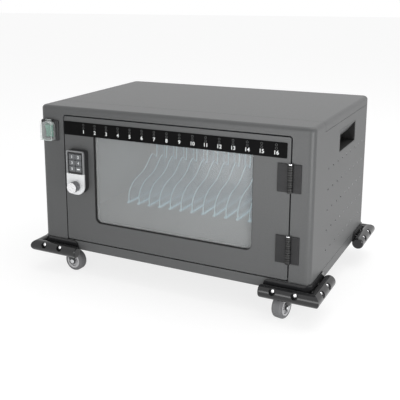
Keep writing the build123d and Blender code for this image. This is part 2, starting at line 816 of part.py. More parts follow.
def lock_key(column, row):
    """One key of the keypad, set a little below the face."""
    x = lock_center_x + (column - (key_columns - 1) / 2) * key_pitch_x
    z = base_z + keypad_z + ((key_rows - 1) / 2 - row) * key_pitch_z
    front = lock_face_front + key_recess
    key = upright(grown((x, x), key_width / 2), grown((z, z), key_height / 2), (front, front + key_thickness),
                  key_corner)
    return chamfer(key.faces().sort_by(Axis.Y)[0].edges(), key_recess / 2)


def switch_box(margin, y):
    """The rocker's window, moved outwards by a margin, as a block."""
    x = grown((switch_center_x, switch_center_x), rocker_window_width / 2 + margin)
    z = grown((switch_center_z, switch_center_z), rocker_window_height / 2 + margin)
    return block(x, y, z)


def switch_housing():
    """Bezel on the column, the case behind it, and two ears with the cover's pin."""
    bezel_x = grown((switch_center_x, switch_center_x), bezel_width / 2)
    bezel_z = grown((switch_center_z, switch_center_z), bezel_height / 2)
    housing = upright(bezel_x, bezel_z, (front_y - bezel_depth, front_y), bezel_corner)
    housing = chamfer(housing.faces().sort_by(Axis.Y)[0].edges(), bezel_depth / 4)
    housing += switch_box(housing_wall, (front_y, front_y + housing_depth))
    housing -= switch_box(0, (front_y - bezel_depth, front_y + housing_depth - housing_wall))
    for end in (-1, 1):
        inner = end * (cover_barrel_length / 2 + ear_gap)
        ear_x = sorted((switch_center_x + inner, switch_center_x + inner + end * ear_width))
        housing += rod_x(ear_x, cover_axis_y, cover_axis_z, cover_barrel)
        housing += block(ear_x, (cover_axis_y, front_y - bezel_depth / 2),
                         (cover_axis_z - cover_barrel, cover_axis_z + cover_barrel))
    pin = grown((switch_center_x, switch_center_x), cover_barrel_length / 2 + ear_gap)
    return housing + rod_x(pin, cover_axis_y, cover_axis_z, cover_pin)


def switch_rocker():
    """Rocker with two flats that meet in a shallow valley, tilted to one side as it rests."""
    half = rocker_window_height / 2 - rocker_gap
    pivot_y = front_y + rocker_pivot
    x = grown((switch_center_x, switch_center_x), rocker_window_width / 2 - rocker_gap)
    drum = rod_x(x, pivot_y, switch_center_z, half)
    valley = rocker_proud - half * sin(radians(rocker_tilt))
    front, back = pivot_y - rocker_proud, pivot_y + rocker_back
    low, high = switch_center_z - half, switch_center_z + half
    outline = [(front, high), (pivot_y - valley, switch_center_z), (front, low), (back, low), (back, high)]
    plane = Plane(origin=(x[0], 0, 0), x_dir=(0, 1, 0), z_dir=(1, 0, 0))
    wedge = extrude(plane * make_face(Polyline(*outline, close=True).edges()), x[1] - x[0])
    rocker = drum & wedge
    return rocker.rotate(Axis((0, pivot_y, switch_center_z), (1, 0, 0)), rocker_tilt)


def switch_cover():
    """Clear splash cover: a shallow arched cap that hangs from its barrel."""
    x = grown((switch_center_x, switch_center_x), cover_width / 2)
    z = (cover_top - cover_height, cover_top)
    y = (cover_back_y - cover_depth, cover_back_y)
    cap = arched(x, z, y, cover_arch, cover_foot_corner)
    cap -= arched(grown(x, -cover_wall), grown(z, -cover_wall), (y[0] + cover_wall, y[1]),
                  cover_arch - cover_wall, cover_foot_corner - cover_wall)
    barrel_x = grown((switch_center_x, switch_center_x), cover_barrel_length / 2)
    cap += rod_x(barrel_x, cover_axis_y, cover_axis_z, cover_barrel)
    return cap - rod_x(barrel_x, cover_axis_y, cover_axis_z, cover_pin + running_fit)


def arched(x, z, y, arch, foot):
    """A plate facing the front with a large radius at its top corners and a small one below."""
    middle = (z[0] + z[1]) / 2
    top = upright(x, z, y, arch) & block((-far, far), (-far, far), (middle, far))
    return top + (upright(x, z, y, foot) & block((-far, far), (-far, far), (0, middle)))


os.makedirs("parts", exist_ok=True)

outer_case = case(0)
inner_case = case(sheet)
shell = outer_case - inner_case
lining = inner_case - case(2 * sheet)

write("base_pan", base_pan(shell, lining))
write("front_frame", front_frame(shell))
write("left_panel", side_panel(shell, -1))
write("right_panel", side_panel(shell, 1))
write("top_cover", top_cover(shell))
write("rear_panel", rear_panel(shell))
write("partition", partition(inner_case))
write("bay_floor", bay_floor())
write("dividers", group(divider(number) for number in range(slot_count + 1)))
write("charging_strip", charging_strip())
write("power_module", power_module())
write("mains_inlet", mains_inlet())
write("side_handle_left", side_handle(-1))
write("side_handle_right", side_handle(1))

for side, side_name in ((-1, "left"), (1, "right")):
    for end, end_name in ((-1, "front"), (1, "rear")):
        write(f"bumper_{end_name}_{side_name}", bumper(side, end))
write("bumper_screws", group(bumper_screw(*place) for place in bumper_screw_places()))

places = caster_places()
write("caster_plates", group(caster_plate(x, y) for x, y in places.values()))
write("caster_bolts", group(bolt for x, y in places.values() for bolt in caster_bolts(x, y)))
for name, (x, y) in places.items():
    stand = Pos(x, y, 0) * Rot(0, 0, caster_headings[name])
    write(f"caster_fork_{name}", stand * caster_fork())
    write(f"caster_axle_{name}", stand * caster_axle())
    write(f"caster_tyre_{name}", stand * caster_tyre())
    write(f"caster_hub_{name}", stand * caster_hub())

write("door_panel", door_panel())
write("window_gasket", window_gasket())
write("window_pane", window_pane())
write("window_retainer", window_retainer())
write("label_strip", label_strip())

door_leaf_x = (pin_x - barrel_radius - hinge_door_width, pin_x - barrel_radius)
frame_leaf_x = (pin_x + barrel_radius, pin_x + barrel_radius + hinge_frame_width)
write("hinge_frame_leaves", group(hinge_half(z, frame_leaf_x, 0) for z in hinge_heights))
write("hinge_door_leaves", group(hinge_half(z, door_leaf_x, 1) for z in hinge_heights))
write("hinge_pins", group(hinge_pin(z) for z in hinge_heights))

write("lock_body", lock_body())
write("lock_face", lock_face())
write("lock_nut", lock_nut())
write("lock_knob", lock_knob())
write("lock_cam", lock_cam())
for row in range(key_rows):
    for column in range(key_columns):
        write(f"lock_key_{row * key_columns + column + 1}", lock_key(column, row))

write("switch_housing", switch_housing())
write("switch_rocker", switch_rocker())
write("switch_cover", switch_cover())
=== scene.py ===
from math import cos, pi, radians, sin

import bmesh
import bpy
from bpy.props import FloatProperty, FloatVectorProperty, IntProperty, PointerProperty
from mathutils import Matrix, Vector


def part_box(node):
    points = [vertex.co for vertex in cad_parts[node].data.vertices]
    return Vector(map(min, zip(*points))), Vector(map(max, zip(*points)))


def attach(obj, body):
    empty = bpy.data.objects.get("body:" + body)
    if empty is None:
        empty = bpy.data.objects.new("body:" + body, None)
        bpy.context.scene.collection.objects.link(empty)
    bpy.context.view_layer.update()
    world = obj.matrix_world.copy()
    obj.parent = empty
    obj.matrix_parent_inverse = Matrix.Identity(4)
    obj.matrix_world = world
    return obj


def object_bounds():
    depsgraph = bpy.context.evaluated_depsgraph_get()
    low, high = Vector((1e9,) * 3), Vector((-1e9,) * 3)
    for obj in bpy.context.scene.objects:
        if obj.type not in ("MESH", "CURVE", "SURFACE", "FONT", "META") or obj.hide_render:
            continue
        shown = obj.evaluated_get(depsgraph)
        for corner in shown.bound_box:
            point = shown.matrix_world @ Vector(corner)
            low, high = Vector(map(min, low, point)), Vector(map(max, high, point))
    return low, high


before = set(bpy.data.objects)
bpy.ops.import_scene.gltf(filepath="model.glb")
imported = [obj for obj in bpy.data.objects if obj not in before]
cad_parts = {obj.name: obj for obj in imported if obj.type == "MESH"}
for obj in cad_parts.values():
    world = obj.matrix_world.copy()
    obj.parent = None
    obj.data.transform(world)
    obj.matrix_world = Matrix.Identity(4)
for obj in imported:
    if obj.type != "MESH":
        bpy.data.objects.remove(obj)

bl_info = {
    "name": "Laptop Charging Cart",
    "version": (1, 0, 0),
    "blender": (4, 5, 0),
    "location": "3D View > Sidebar > Cart",
    "description": "Dresses the laptop charging cart and sets it on a pale studio floor",
    "category": "Object",
}

CAD_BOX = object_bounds()
DOOR = "door"
CABINET = "cabinet"
CORNERS = ("front_left", "front_right", "rear_left", "rear_right")
SIDES = ("left", "right")
KEY_COUNT = 6

# Millimetre sizes are written times this
MM = 0.001

# How far print stands on its surface
PRINT_PROUD = 0.15 * MM

# Label strip: heights are above its lower edge
NUMBER_RISE = 10 * MM
LAMP_RISE = 23 * MM
LAMP_ROWS = 2
LAMP_ROW_GAP = 7 * MM
LAMP_RADIUS = 2.3 * MM
LAMP_WIRE = 0.35 * MM
LAMP_SINK = 0.1 * MM

# Lock: the last key has a bar in place of a number, given as half its width and height
KEY_NUMBER_HEIGHT = 6.5 * MM
KEY_BAR_HALF_WIDTH = 4.5 * MM
KEY_BAR_HALF_HEIGHT = 1.6 * MM
KEY_BAR_SINK = 0.1 * MM
KEYPAD_MARGIN = 5 * MM

# Switch cover: light strips along its edges, as painted highlights
COVER_EDGE = 0.9 * MM
COVER_EDGE_INSET = 0.05 * MM
COVER_EDGE_BEVEL = 0.2 * MM
COVER_CROWN = 4 * MM

# Rear panel's screws
SCREW_COLUMNS = 4
SCREW_ROWS = 2
SCREW_RADIUS = 4.5 * MM
SCREW_HEIGHT = 2 * MM
SCREW_SIDE_MARGIN = 17 * MM
SCREW_TOP_MARGIN = 22 * MM
SCREW_INLET_GAP = 7 * MM

# The handle's charcoal grip plate is this far in from its outer face; deeper in, the cup is a very
# dark painted shade
GRIP_INSET = 17 * MM
GRIP_BLEND = 3 * MM

# Wave texture scale of the grooves round the hinge barrels
BARREL_GROOVES = 60.0

# A font's capital height as a share of its size, and how much its strokes are thickened
CAPITAL_SHARE = 0.7
STROKE_SHARE = 0.025


# Settings that a user would change

def colour_setting(name, description, default):
    return FloatVectorProperty(name=name, description=description, subtype="COLOR", size=3,
                               default=default, min=0, max=1)


class CoatSettings(bpy.types.PropertyGroup):
    """Powder coat of the cabinet and its door."""
    charcoal: colour_setting("Charcoal", "Colour of the powder coat outside", (0.085, 0.087, 0.088))
    lining: colour_setting("Lining", "Colour of the coat inside the bay", (0.52, 0.53, 0.53))
    roughness: FloatProperty(name="Roughness", description="Gloss of the powder coat",
                             default=0.42, min=0, max=1, subtype="FACTOR")
    grain: FloatProperty(name="Grain", description="Grains of the coat to a metre",
                         default=900, min=1)


class GlazingSettings(bpy.types.PropertyGroup):
    """The window's pane and the clear dividers."""
    pane: colour_setting("Pane", "Tint of the window", (0.46, 0.47, 0.47))
    pane_cover: FloatProperty(name="Pane cover", description="How much of the bay the pane hides",
                              default=0.34, min=0, max=1, subtype="FACTOR")
    divider: colour_setting("Divider", "Tint of the dividers", (0.34, 0.58, 0.70))
    # Colour of the painted highlight on the dividers' cut edges
    divider_edge: colour_setting("Divider edge", "Light that gathers in the dividers' edges",
                                 (0.52, 0.76, 0.85))
    divider_cover: FloatProperty(name="Divider cover",
                                 description="How much a divider's face hides",
                                 default=0.35, min=0, max=1, subtype="FACTOR")


class StripSettings(bpy.types.PropertyGroup):
    """Numbers and lamps of the label strip."""
    slots: IntProperty(name="Slots", description="How many slots are numbered",
                       default=16, min=1, max=40)
    pitch: FloatProperty(name="Pitch", description="Distance between two numbers",
                         default=31.63 * MM, unit="LENGTH")
    number_height: FloatProperty(name="Number height", description="Height of a number",
                                 default=8.2 * MM, unit="LENGTH")
    ink: colour_setting("Ink", "Colour of the printed numbers", (0.80, 0.82, 0.82))
    lamp: colour_setting("Lamp", "Colour of an unlit lamp", (0.11, 0.115, 0.115))


class StageSettings(bpy.types.PropertyGroup):
    """Floor, lamps and camera."""
    floor: colour_setting("Floor", "Colour of the floor", (0.92, 0.92, 0.92))
    world_strength: FloatProperty(name="World strength", description="Even light from all round",
                                  default=0.55, min=0)
    lens: FloatProperty(name="Lens", description="Focal length on a 36 mm frame",
                        default=64.78, min=1, unit="CAMERA")


GROUPS = {
    "cart_coat": CoatSettings,
    "cart_glazing": GlazingSettings,
    "cart_strip": StripSettings,
    "cart_stage": StageSettings,
}


def settings_of(context, name):
    return getattr(context.scene, name)


# Shader helpers

def new_material(name):
    made = bpy.data.materials.new(name)
    made.use_nodes = True
    return made


def shader_of(made):
    return made.node_tree.nodes["Principled BSDF"]


def node(made, kind, inputs=None, **settings):
    """Adds a shader node with its settings and its unlinked inputs."""
    added = made.node_tree.nodes.new(kind)
    for name, value in settings.items():
        setattr(added, name, value)
    for name, value in (inputs or {}).items():
        added.inputs[name].default_value = value
    return added


def is_socket(value):
    return hasattr(value, "is_linked")


def wire(made, source, target):
    """Links an output socket to an input socket."""
    made.node_tree.links.new(source, target)


def feed(made, source, name):
    """Links an output socket to an input of the shader."""
    wire(made, source, shader_of(made).inputs[name])


def set_shader(made, **values):
    """Sets sockets of the shader; underscores in a name stand for spaces."""
    for name, value in values.items():
        shader_of(made).inputs[name.replace("_", " ")].default_value = value


def coordinates(made, name):
    """Object for a place on the piece, or Normal for the way its surface faces."""
    return node(made, "ShaderNodeTexCoord").outputs[name]


def part(made, vector, axis):
    """One coordinate of a vector socket."""
    parts = node(made, "ShaderNodeSeparateXYZ")
    wire(made, vector, parts.inputs["Vector"])
    return parts.outputs[axis]


def maths(made, operation, first, second=None):
    """The result of an operation on a socket and a second socket or number."""
    result = node(made, "ShaderNodeMath", operation=operation)
    wire(made, first, result.inputs[0])
    if is_socket(second):
        wire(made, second, result.inputs[1])
    elif second is not None:
        result.inputs[1].default_value = second
    return result.outputs["Value"]


def between(made, value, start, end, low=0.0, high=1.0):
    """A number that runs from low to high as a value goes from start to end."""
    change = node(made, "ShaderNodeMapRange",
                  {"From Min": start, "From Max": end, "To Min": low, "To Max": high})
    wire(made, value, change.inputs["Value"])
    return change.outputs["Result"]


def noise(made, scale, detail=2.0, stretch=None):
    """Noise in the object's own space, with its scale in features to a metre."""
    place = coordinates(made, "Object")
    if stretch:
        mapping = node(made, "ShaderNodeMapping", {"Scale": stretch})
        wire(made, place, mapping.inputs["Vector"])
        place = mapping.outputs["Vector"]
    grain = node(made, "ShaderNodeTexNoise", {"Scale": scale, "Detail": detail})
    wire(made, place, grain.inputs["Vector"])
    return grain.outputs["Fac"]


# Noise stays mostly between these two values
NOISE_LOW, NOISE_HIGH = 0.3, 0.7


def ramp(made, factor, low, high, start=NOISE_LOW, end=NOISE_HIGH):
    """A colour that runs from low to high as the factor rises."""
    blend = node(made, "ShaderNodeValToRGB")
    first, last = blend.color_ramp.elements
    first.position, first.color = start, (*low, 1)
    last.position, last.color = end, (*high, 1)
    wire(made, factor, blend.inputs["Fac"])
    return blend.outputs["Color"]


def vary_gloss(made, factor, low, high):
    """Roughness that runs from low to high with a noise."""
    feed(made, between(made, factor, NOISE_LOW, NOISE_HIGH, low, high), "Roughness")


def bump(made, height, strength, depth):
    relief = node(made, "ShaderNodeBump", {"Strength": strength, "Distance": depth})
    wire(made, height, relief.inputs["Height"])
    feed(made, relief.outputs["Normal"], "Normal")


def choose(made, factor, first, second):
    """Mixes two colours, given as sockets or values, by a factor socket."""
    mix = node(made, "ShaderNodeMix", data_type="RGBA")
    factor_in, first_in, second_in, colour_out = mix.inputs[0], mix.inputs[6], mix.inputs[7], 2
    for socket, value in ((first_in, first), (second_in, second)):
        if is_socket(value):
            wire(made, value, socket)
        else:
            socket.default_value = (*value, 1)
    wire(made, factor, factor_in)
    return mix.outputs[colour_out]


def shade(colour, amount):
    """A colour made lighter or darker by an amount."""
    return tuple(max(0.0, min(1.0, channel * (1 + amount))) for channel in colour)


def mottle(made, factor, colour, amount):
    """A colour that varies by an amount either way with a noise."""
    return ramp(made, factor, shade(colour, -amount), shade(colour, amount))


GRAIN_DEPTH = 0.0002


def surface(name, roughness, grain, relief, metallic=0.0, **sockets):
    """A finish with gloss and relief that vary a little, and its colour still to come."""
    made = new_material(name)
    set_shader(made, Metallic=metallic, **sockets)
    vary_gloss(made, noise(made, grain * 0.08), roughness * 0.9, min(1.0, roughness * 1.12))
    bump(made, noise(made, grain), relief, GRAIN_DEPTH)
    return made


def plain_finish(name, colour, roughness, grain, relief, **sockets):
    """A finish whose colour, gloss and relief vary a little, as moulded pieces do."""
    made = surface(name, roughness, grain, relief, **sockets)
    feed(made, mottle(made, noise(made, grain * 0.02, 3.0), colour, 0.05), "Base Color")
    return made


# Finishes

def facing_bay(made):
    """1 where a surface looks towards the middle of the object."""
    middle = (CAD_BOX[0] + CAD_BOX[1]) / 2
    away = node(made, "ShaderNodeVectorMath", {1: tuple(middle)}, operation="SUBTRACT")
    wire(made, coordinates(made, "Object"), away.inputs[0])
    outward = node(made, "ShaderNodeVectorMath", operation="DOT_PRODUCT")
    wire(made, away.outputs["Vector"], outward.inputs[0])
    wire(made, coordinates(made, "Normal"), outward.inputs[1])
    return maths(made, "LESS_THAN", outward.outputs["Value"], 0.0)


def powder_coat(settings, lined):
    """Charcoal coat; a lined panel is paler on the side that faces the bay."""
    made = new_material("powder_coat_lined" if lined else "powder_coat")
    set_shader(made, Specular_IOR_Level=0.4)
    colour = mottle(made, noise(made, 400.0, 4.0), tuple(settings.charcoal), 0.06)
    if lined:
        colour = choose(made, facing_bay(made), colour, tuple(settings.lining))
    feed(made, colour, "Base Color")
    gloss = settings.roughness
    vary_gloss(made, noise(made, 500.0), gloss * 0.95, gloss * 1.06)
    bump(made, noise(made, settings.grain), 0.06, GRAIN_DEPTH)
    return made


def inner_coat(settings):
    return plain_finish("inner_coat", tuple(settings.lining), roughness=0.5,
                        grain=settings.grain, relief=0.08)


def pane_sheet(settings):
    """Clear sheet with a faint haze."""
    made = new_material("pane_sheet")
    feed(made, mottle(made, noise(made, 3.0), tuple(settings.pane), 0.04), "Base Color")
    vary_gloss(made, noise(made, 20.0), 0.08, 0.12)
    set_shader(made, Alpha=settings.pane_cover)
    return made


def divider_sheet(settings):
    """Tinted clear plastic with a painted highlight on its cut edges and a faint painted glow over
    its faces.
    """
    made = new_material("divider_sheet")
    across = maths(made, "ABSOLUTE", part(made, coordinates(made, "Normal"), "X"))
    edge = maths(made, "LESS_THAN", across, 0.5)
    face, bright = tuple(settings.divider), tuple(settings.divider_edge)
    painted_face_glow = tuple(channel * 0.16 for channel in face)
    mottled = mottle(made, noise(made, 18.0, 3.0), face, 0.06)
    # Cut edges get the painted highlight colour; as emission, the faces get a painted glow of a dim
    # share of their tint, though the dividers are no lamp
    feed(made, choose(made, edge, mottled, bright), "Base Color")
    feed(made, choose(made, edge, painted_face_glow, bright), "Emission Color")
    set_shader(made, Emission_Strength=0.35)
    feed(made, between(made, edge, 0.0, 1.0, settings.divider_cover, 0.95), "Alpha")
    vary_gloss(made, noise(made, 40.0), 0.18, 0.26)
    return made


def brushed_metal(name, colour, roughness):
    """Metal with fine drawn lines."""
    made = new_material(name)
    set_shader(made, Metallic=1.0)
    lines = noise(made, 700.0, 3.0, stretch=(1, 1, 14))
    feed(made, ramp(made, lines, shade(colour, -0.08), shade(colour, 0.06)), "Base Color")
    vary_gloss(made, lines, roughness * 0.8, roughness * 1.3)
    bump(made, lines, 0.05, GRAIN_DEPTH / 2)
    return made


def black_plastic():
    return plain_finish("black_plastic", (0.020, 0.020, 0.021), roughness=0.45,
                        grain=1100.0, relief=0.15)


def handle_plastic(charcoal):
    """Deep inside the cup the colour is a very dark painted shade; the grip plate and the lip near
    the side are charcoal.
    """
    made = surface("handle_plastic", roughness=0.5, grain=1100.0, relief=0.15)
    low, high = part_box("side_handle_right")
    out = maths(made, "ABSOLUTE", part(made, coordinates(made, "Object"), "X"))
    plate_end = high.x - GRIP_INSET
    near = between(made, out, plate_end - GRIP_BLEND, plate_end)
    across = maths(made, "ABSOLUTE", part(made, coordinates(made, "Normal"), "X"))
    facing = maths(made, "GREATER_THAN", across, 0.45)
    plate = maths(made, "MULTIPLY", near, facing)
    # Painted shade: the deep part of the cup gets a very dark colour that stands for the shadow in
    # the recess
    painted_recess_shade = ramp(made, noise(made, 40.0), (0.010, 0.010, 0.010), (0.014, 0.014, 0.014))
    feed(made, choose(made, plate, painted_recess_shade, charcoal), "Base Color")
    return made


def bumper_gloss():
    return plain_finish("bumper_gloss", (0.012, 0.012, 0.013), roughness=0.16,
                        grain=260.0, relief=0.04)


def strip_film():
    return plain_finish("strip_film", (0.0032, 0.0032, 0.0034), roughness=0.5,
                        grain=400.0, relief=0.03, Specular_IOR_Level=0.05)


def gasket_rubber():
    return plain_finish("gasket_rubber", (0.010, 0.010, 0.010), roughness=0.7,
                        grain=700.0, relief=0.2)


def hinge_coat():
    """Black coat, with fine grooves round the barrel; the grooves are painted darker and the ridges
    lighter, as painted shade and painted highlight.
    """
    made = new_material("hinge_coat")
    set_shader(made, Specular_IOR_Level=0.3)
    place = coordinates(made, "Object")
    pins_low, pins_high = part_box("hinge_pins")
    barrel_front = (pins_low.y + pins_high.y) / 2
    barrel = between(made, part(made, place, "Y"), barrel_front, barrel_front - 1 * MM)
    grooves = node(made, "ShaderNodeTexWave", {"Scale": BARREL_GROOVES}, bands_direction="Z")
    wire(made, place, grooves.inputs["Vector"])
    groove = grooves.outputs["Fac"]
    # Painted shade in the grooves and painted highlight on the ridges between them
    grooved = ramp(made, groove, (0.004, 0.004, 0.004), (0.030, 0.030, 0.030), 0.4, 0.6)
    plain = ramp(made, noise(made, 60.0), (0.014, 0.014, 0.015), (0.019, 0.019, 0.020))
    feed(made, choose(made, barrel, plain, grooved), "Base Color")
    vary_gloss(made, noise(made, 300.0), 0.42, 0.52)
    bump(made, groove, 0.2, 2 * GRAIN_DEPTH)
    return made


def lock_silver(keypad_bottom):
    """One silver in a lit and a shaded copy: painted bright below the keypad, as light on the
    bulging lower part, and painted duller on the frame round it, as shade.
    """
    made = surface("lock_silver", roughness=0.3, grain=900.0, relief=0.04, metallic=0.25)
    height = part(made, coordinates(made, "Object"), "Z")
    above = between(made, height, keypad_bottom, keypad_bottom + 1 * MM)
    bright = ramp(made, noise(made, 30.0), (0.70, 0.71, 0.72), (0.78, 0.79, 0.80))
    # Painted light and shade: the same silver is bright below the keypad and dull on the frame
    feed(made, choose(made, above, bright, (0.24, 0.245, 0.25)), "Base Color")
    return made


def knob_metal():
    """Turned metal: a bright satin end, and sides painted dark as a painted reflection of the dark
    surroundings in the polished metal.
    """
    made = new_material("knob_metal")
    set_shader(made, Metallic=0.5)
    side = between(made, part(made, coordinates(made, "Normal"), "Y"), -0.9, -0.4)
    lines = noise(made, 500.0, 2.0, stretch=(1, 6, 1))
    bright = ramp(made, lines, (0.74, 0.74, 0.75), (0.84, 0.84, 0.85))
    # Painted reflection: surfaces that do not face the front get a dark colour
    feed(made, choose(made, side, bright, (0.13, 0.13, 0.135)), "Base Color")
    vary_gloss(made, noise(made, 200.0), 0.24, 0.34)
    return made


def key_grey():
    return plain_finish("key_grey", (0.115, 0.12, 0.125), roughness=0.5,
                        grain=1500.0, relief=0.1)


def switch_green():
    return plain_finish("switch_green", (0.020, 0.20, 0.125), roughness=0.2,
                        grain=500.0, relief=0.03, Transmission_Weight=0.15)


def cover_clear():
    """Clear soft plastic: its front is easy to see through, its top and bottom are milky."""
    made = new_material("cover_clear")
    level = maths(made, "ABSOLUTE", part(made, coordinates(made, "Normal"), "Z"))
    feed(made, between(made, level, 0.35, 1.0, 0.13, 0.6), "Alpha")
    colour = ramp(made, noise(made, 60.0), (0.74, 0.78, 0.77), (0.82, 0.86, 0.85))
    feed(made, colour, "Base Color")
    vary_gloss(made, noise(made, 90.0), 0.1, 0.16)
    return made


# Light colour of the strips that stand for highlights on the cover's edges
def cover_rim():
    return plain_finish("cover_rim", (0.62, 0.68, 0.66), roughness=0.2,
                        grain=300.0, relief=0.02)


def fork_coat():
    return plain_finish("fork_coat", (0.035, 0.036, 0.038), roughness=0.4,
                        grain=900.0, relief=0.12)


def tyre_rubber():
    return plain_finish("tyre_rubber", (0.15, 0.15, 0.155), roughness=0.65,
                        grain=900.0, relief=0.25)


def hub_plastic():
    return plain_finish("hub_plastic", (0.52, 0.52, 0.53), roughness=0.42,
                        grain=900.0, relief=0.08)


def ink(name, colour):
    return plain_finish(name, tuple(colour), roughness=0.45, grain=800.0, relief=0.02)


def dress(material, *nodes):
    """Gives CAD nodes a finish."""
    for name in nodes:
        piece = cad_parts[name]
        piece.data.materials.clear()
        piece.data.materials.append(material)


# Mesh helpers

def new_piece(name, data):
    """A new object in the scene, at the origin."""
    piece = bpy.data.objects.new(name, data)
    bpy.context.scene.collection.objects.link(piece)
    return piece


def piece_from_bmesh(name, build, material):
    """A piece made from a finished bmesh."""
    mesh = bpy.data.meshes.new(name)
    build.to_mesh(mesh)
    build.free()
    mesh.materials.append(material)
    return new_piece(name, mesh)


def text_mesh(words, height, place, build):
    """Adds upright front-facing words to a bmesh, centred on a place."""
    curve = bpy.data.curves.new("words", "FONT")
    curve.body = words
    curve.size = height / CAPITAL_SHARE
    curve.extrude = PRINT_PROUD
    curve.align_x = "CENTER"
    curve.align_y = "CENTER"
    curve.resolution_u = 3
    curve.offset = height * STROKE_SHARE
    holder = new_piece("words", curve)
    bpy.context.view_layer.update()
    flat = bpy.data.meshes.new_from_object(holder)
    flat.transform(Matrix.Translation(place) @ Matrix.Rotation(pi / 2, 4, "X"))
    build.from_mesh(flat)
    bpy.data.objects.remove(holder)
    bpy.data.curves.remove(curve)
    bpy.data.meshes.remove(flat)


def bar(build, low, high):
    """Adds a box between two corners to a bmesh."""
    size = Vector(high) - Vector(low)
    middle = (Vector(high) + Vector(low)) / 2
    place = Matrix.Translation(middle) @ Matrix.Diagonal((*size, 1))
    bmesh.ops.create_cube(build, size=1.0, matrix=place)


GRID_INPUTS = {
    "Columns": "NodeSocketInt",
    "Rows": "NodeSocketInt",
    "Width": "NodeSocketFloat",
    "Height": "NodeSocketFloat",
    "Radius": "NodeSocketFloat",
    "Depth": "NodeSocketFloat",
    "Place": "NodeSocketVector",
    "Finish": "NodeSocketMaterial",
}


def grid_tree(name, shape):
    """A node tree that repeats a shape on an upright grid; shape(tree, given) is its socket."""
    tree = bpy.data.node_groups.new(name, "GeometryNodeTree")
    tree.interface.new_socket(name="Geometry", in_out="OUTPUT", socket_type="NodeSocketGeometry")
    for label, kind in GRID_INPUTS.items():
        tree.interface.new_socket(name=label, in_out="INPUT", socket_type=kind)
    link = tree.links.new
    given = tree.nodes.new("NodeGroupInput").outputs
    grid = tree.nodes.new("GeometryNodeMeshGrid")
    link(given["Columns"], grid.inputs["Vertices X"])
    link(given["Rows"], grid.inputs["Vertices Y"])
    link(given["Width"], grid.inputs["Size X"])
    link(given["Height"], grid.inputs["Size Y"])
    spots = tree.nodes.new("GeometryNodeMeshToPoints")
    link(grid.outputs["Mesh"], spots.inputs["Mesh"])
    copies = tree.nodes.new("GeometryNodeInstanceOnPoints")
    link(spots.outputs["Points"], copies.inputs["Points"])
    link(shape(tree, given), copies.inputs["Instance"])
    upright = tree.nodes.new("GeometryNodeTransform")
    upright.inputs["Rotation"].default_value = (pi / 2, 0, 0)
    link(copies.outputs["Instances"], upright.inputs["Geometry"])
    link(given["Place"], upright.inputs["Translation"])
    real = tree.nodes.new("GeometryNodeRealizeInstances")
    link(upright.outputs["Geometry"], real.inputs["Geometry"])
    finish = tree.nodes.new("GeometryNodeSetMaterial")
    link(real.outputs["Geometry"], finish.inputs["Geometry"])
    link(given["Finish"], finish.inputs["Material"])
    link(finish.outputs["Geometry"], tree.nodes.new("NodeGroupOutput").inputs["Geometry"])
    return tree


def circle(tree, radius, points):
    """A circle of a given radius socket."""
    made = tree.nodes.new("GeometryNodeCurvePrimitiveCircle")
    made.inputs["Resolution"].default_value = points
    tree.links.new(radius, made.inputs["Radius"])
    return made.outputs["Curve"]


def ring_shape(tree, given):
    """A flat ring: a small circle swept round a larger one."""
    swept = tree.nodes.new("GeometryNodeCurveToMesh")
    tree.links.new(circle(tree, given["Radius"], 20), swept.inputs["Curve"])
    tree.links.new(circle(tree, given["Depth"], 6), swept.inputs["Profile Curve"])
    return swept.outputs["Mesh"]


def dome_shape(tree, given):
    """A low round head."""
    ball = tree.nodes.new("GeometryNodeMeshUVSphere")
    ball.inputs["Segments"].default_value = 16
    ball.inputs["Rings"].default_value = 8
    ball.inputs["Radius"].default_value = 1.0
    scale = tree.nodes.new("ShaderNodeCombineXYZ")
    for source, target in (("Radius", "X"), ("Radius", "Y"), ("Depth", "Z")):
        tree.links.new(given[source], scale.inputs[target])
    flat = tree.nodes.new("GeometryNodeTransform")
    tree.links.new(ball.outputs["Mesh"], flat.inputs["Geometry"])
    tree.links.new(scale.outputs["Vector"], flat.inputs["Scale"])
    return flat.outputs["Geometry"]


def repeated(name, tree, values):
    """A plain mesh object made by a node tree with the given input values."""
    empty = bpy.data.meshes.new("holder")
    holder = new_piece("holder", empty)
    modifier = holder.modifiers.new("grid", "NODES")
    modifier.node_group = tree
    for item in tree.interface.items_tree:
        if item.in_out == "INPUT":
            modifier[item.identifier] = values[item.name]
    bpy.context.view_layer.update()
    evaluated = holder.evaluated_get(bpy.context.evaluated_depsgraph_get())
    mesh = bpy.data.meshes.new_from_object(evaluated)
    mesh.name = name
    holder.modifiers.remove(modifier)
    bpy.data.objects.remove(holder)
    bpy.data.meshes.remove(empty)
    return new_piece(name, mesh)


# Cabinet

class CART_OT_cabinet(bpy.types.Operator):
    """Coats the cabinet's sheets"""
    bl_idname = "cart.cabinet"
    bl_label = "Cabinet"

    def execute(self, context):
        settings = settings_of(context, "cart_coat")
        dress(powder_coat(settings, False), "front_frame", "door_panel", "base_pan")
        dress(powder_coat(settings, True), "left_panel", "right_panel", "top_cover", "rear_panel")
        dress(inner_coat(settings), "partition", "bay_floor", "power_module", "window_retainer")
        dress(black_plastic(), "mains_inlet", "charging_strip")
        charcoal = tuple(settings.charcoal)
        dress(handle_plastic(charcoal), "side_handle_left", "side_handle_right")
        return {"FINISHED"}


class CART_OT_glazing(bpy.types.Operator):
    """Finishes the pane, its gasket and the dividers"""
    bl_idname = "cart.glazing"
    bl_label = "Glazing"

    def execute(self, context):
        settings = settings_of(context, "cart_glazing")
        dress(pane_sheet(settings), "window_pane")
        dress(divider_sheet(settings), "dividers")
        dress(gasket_rubber(), "window_gasket")
        return {"FINISHED"}


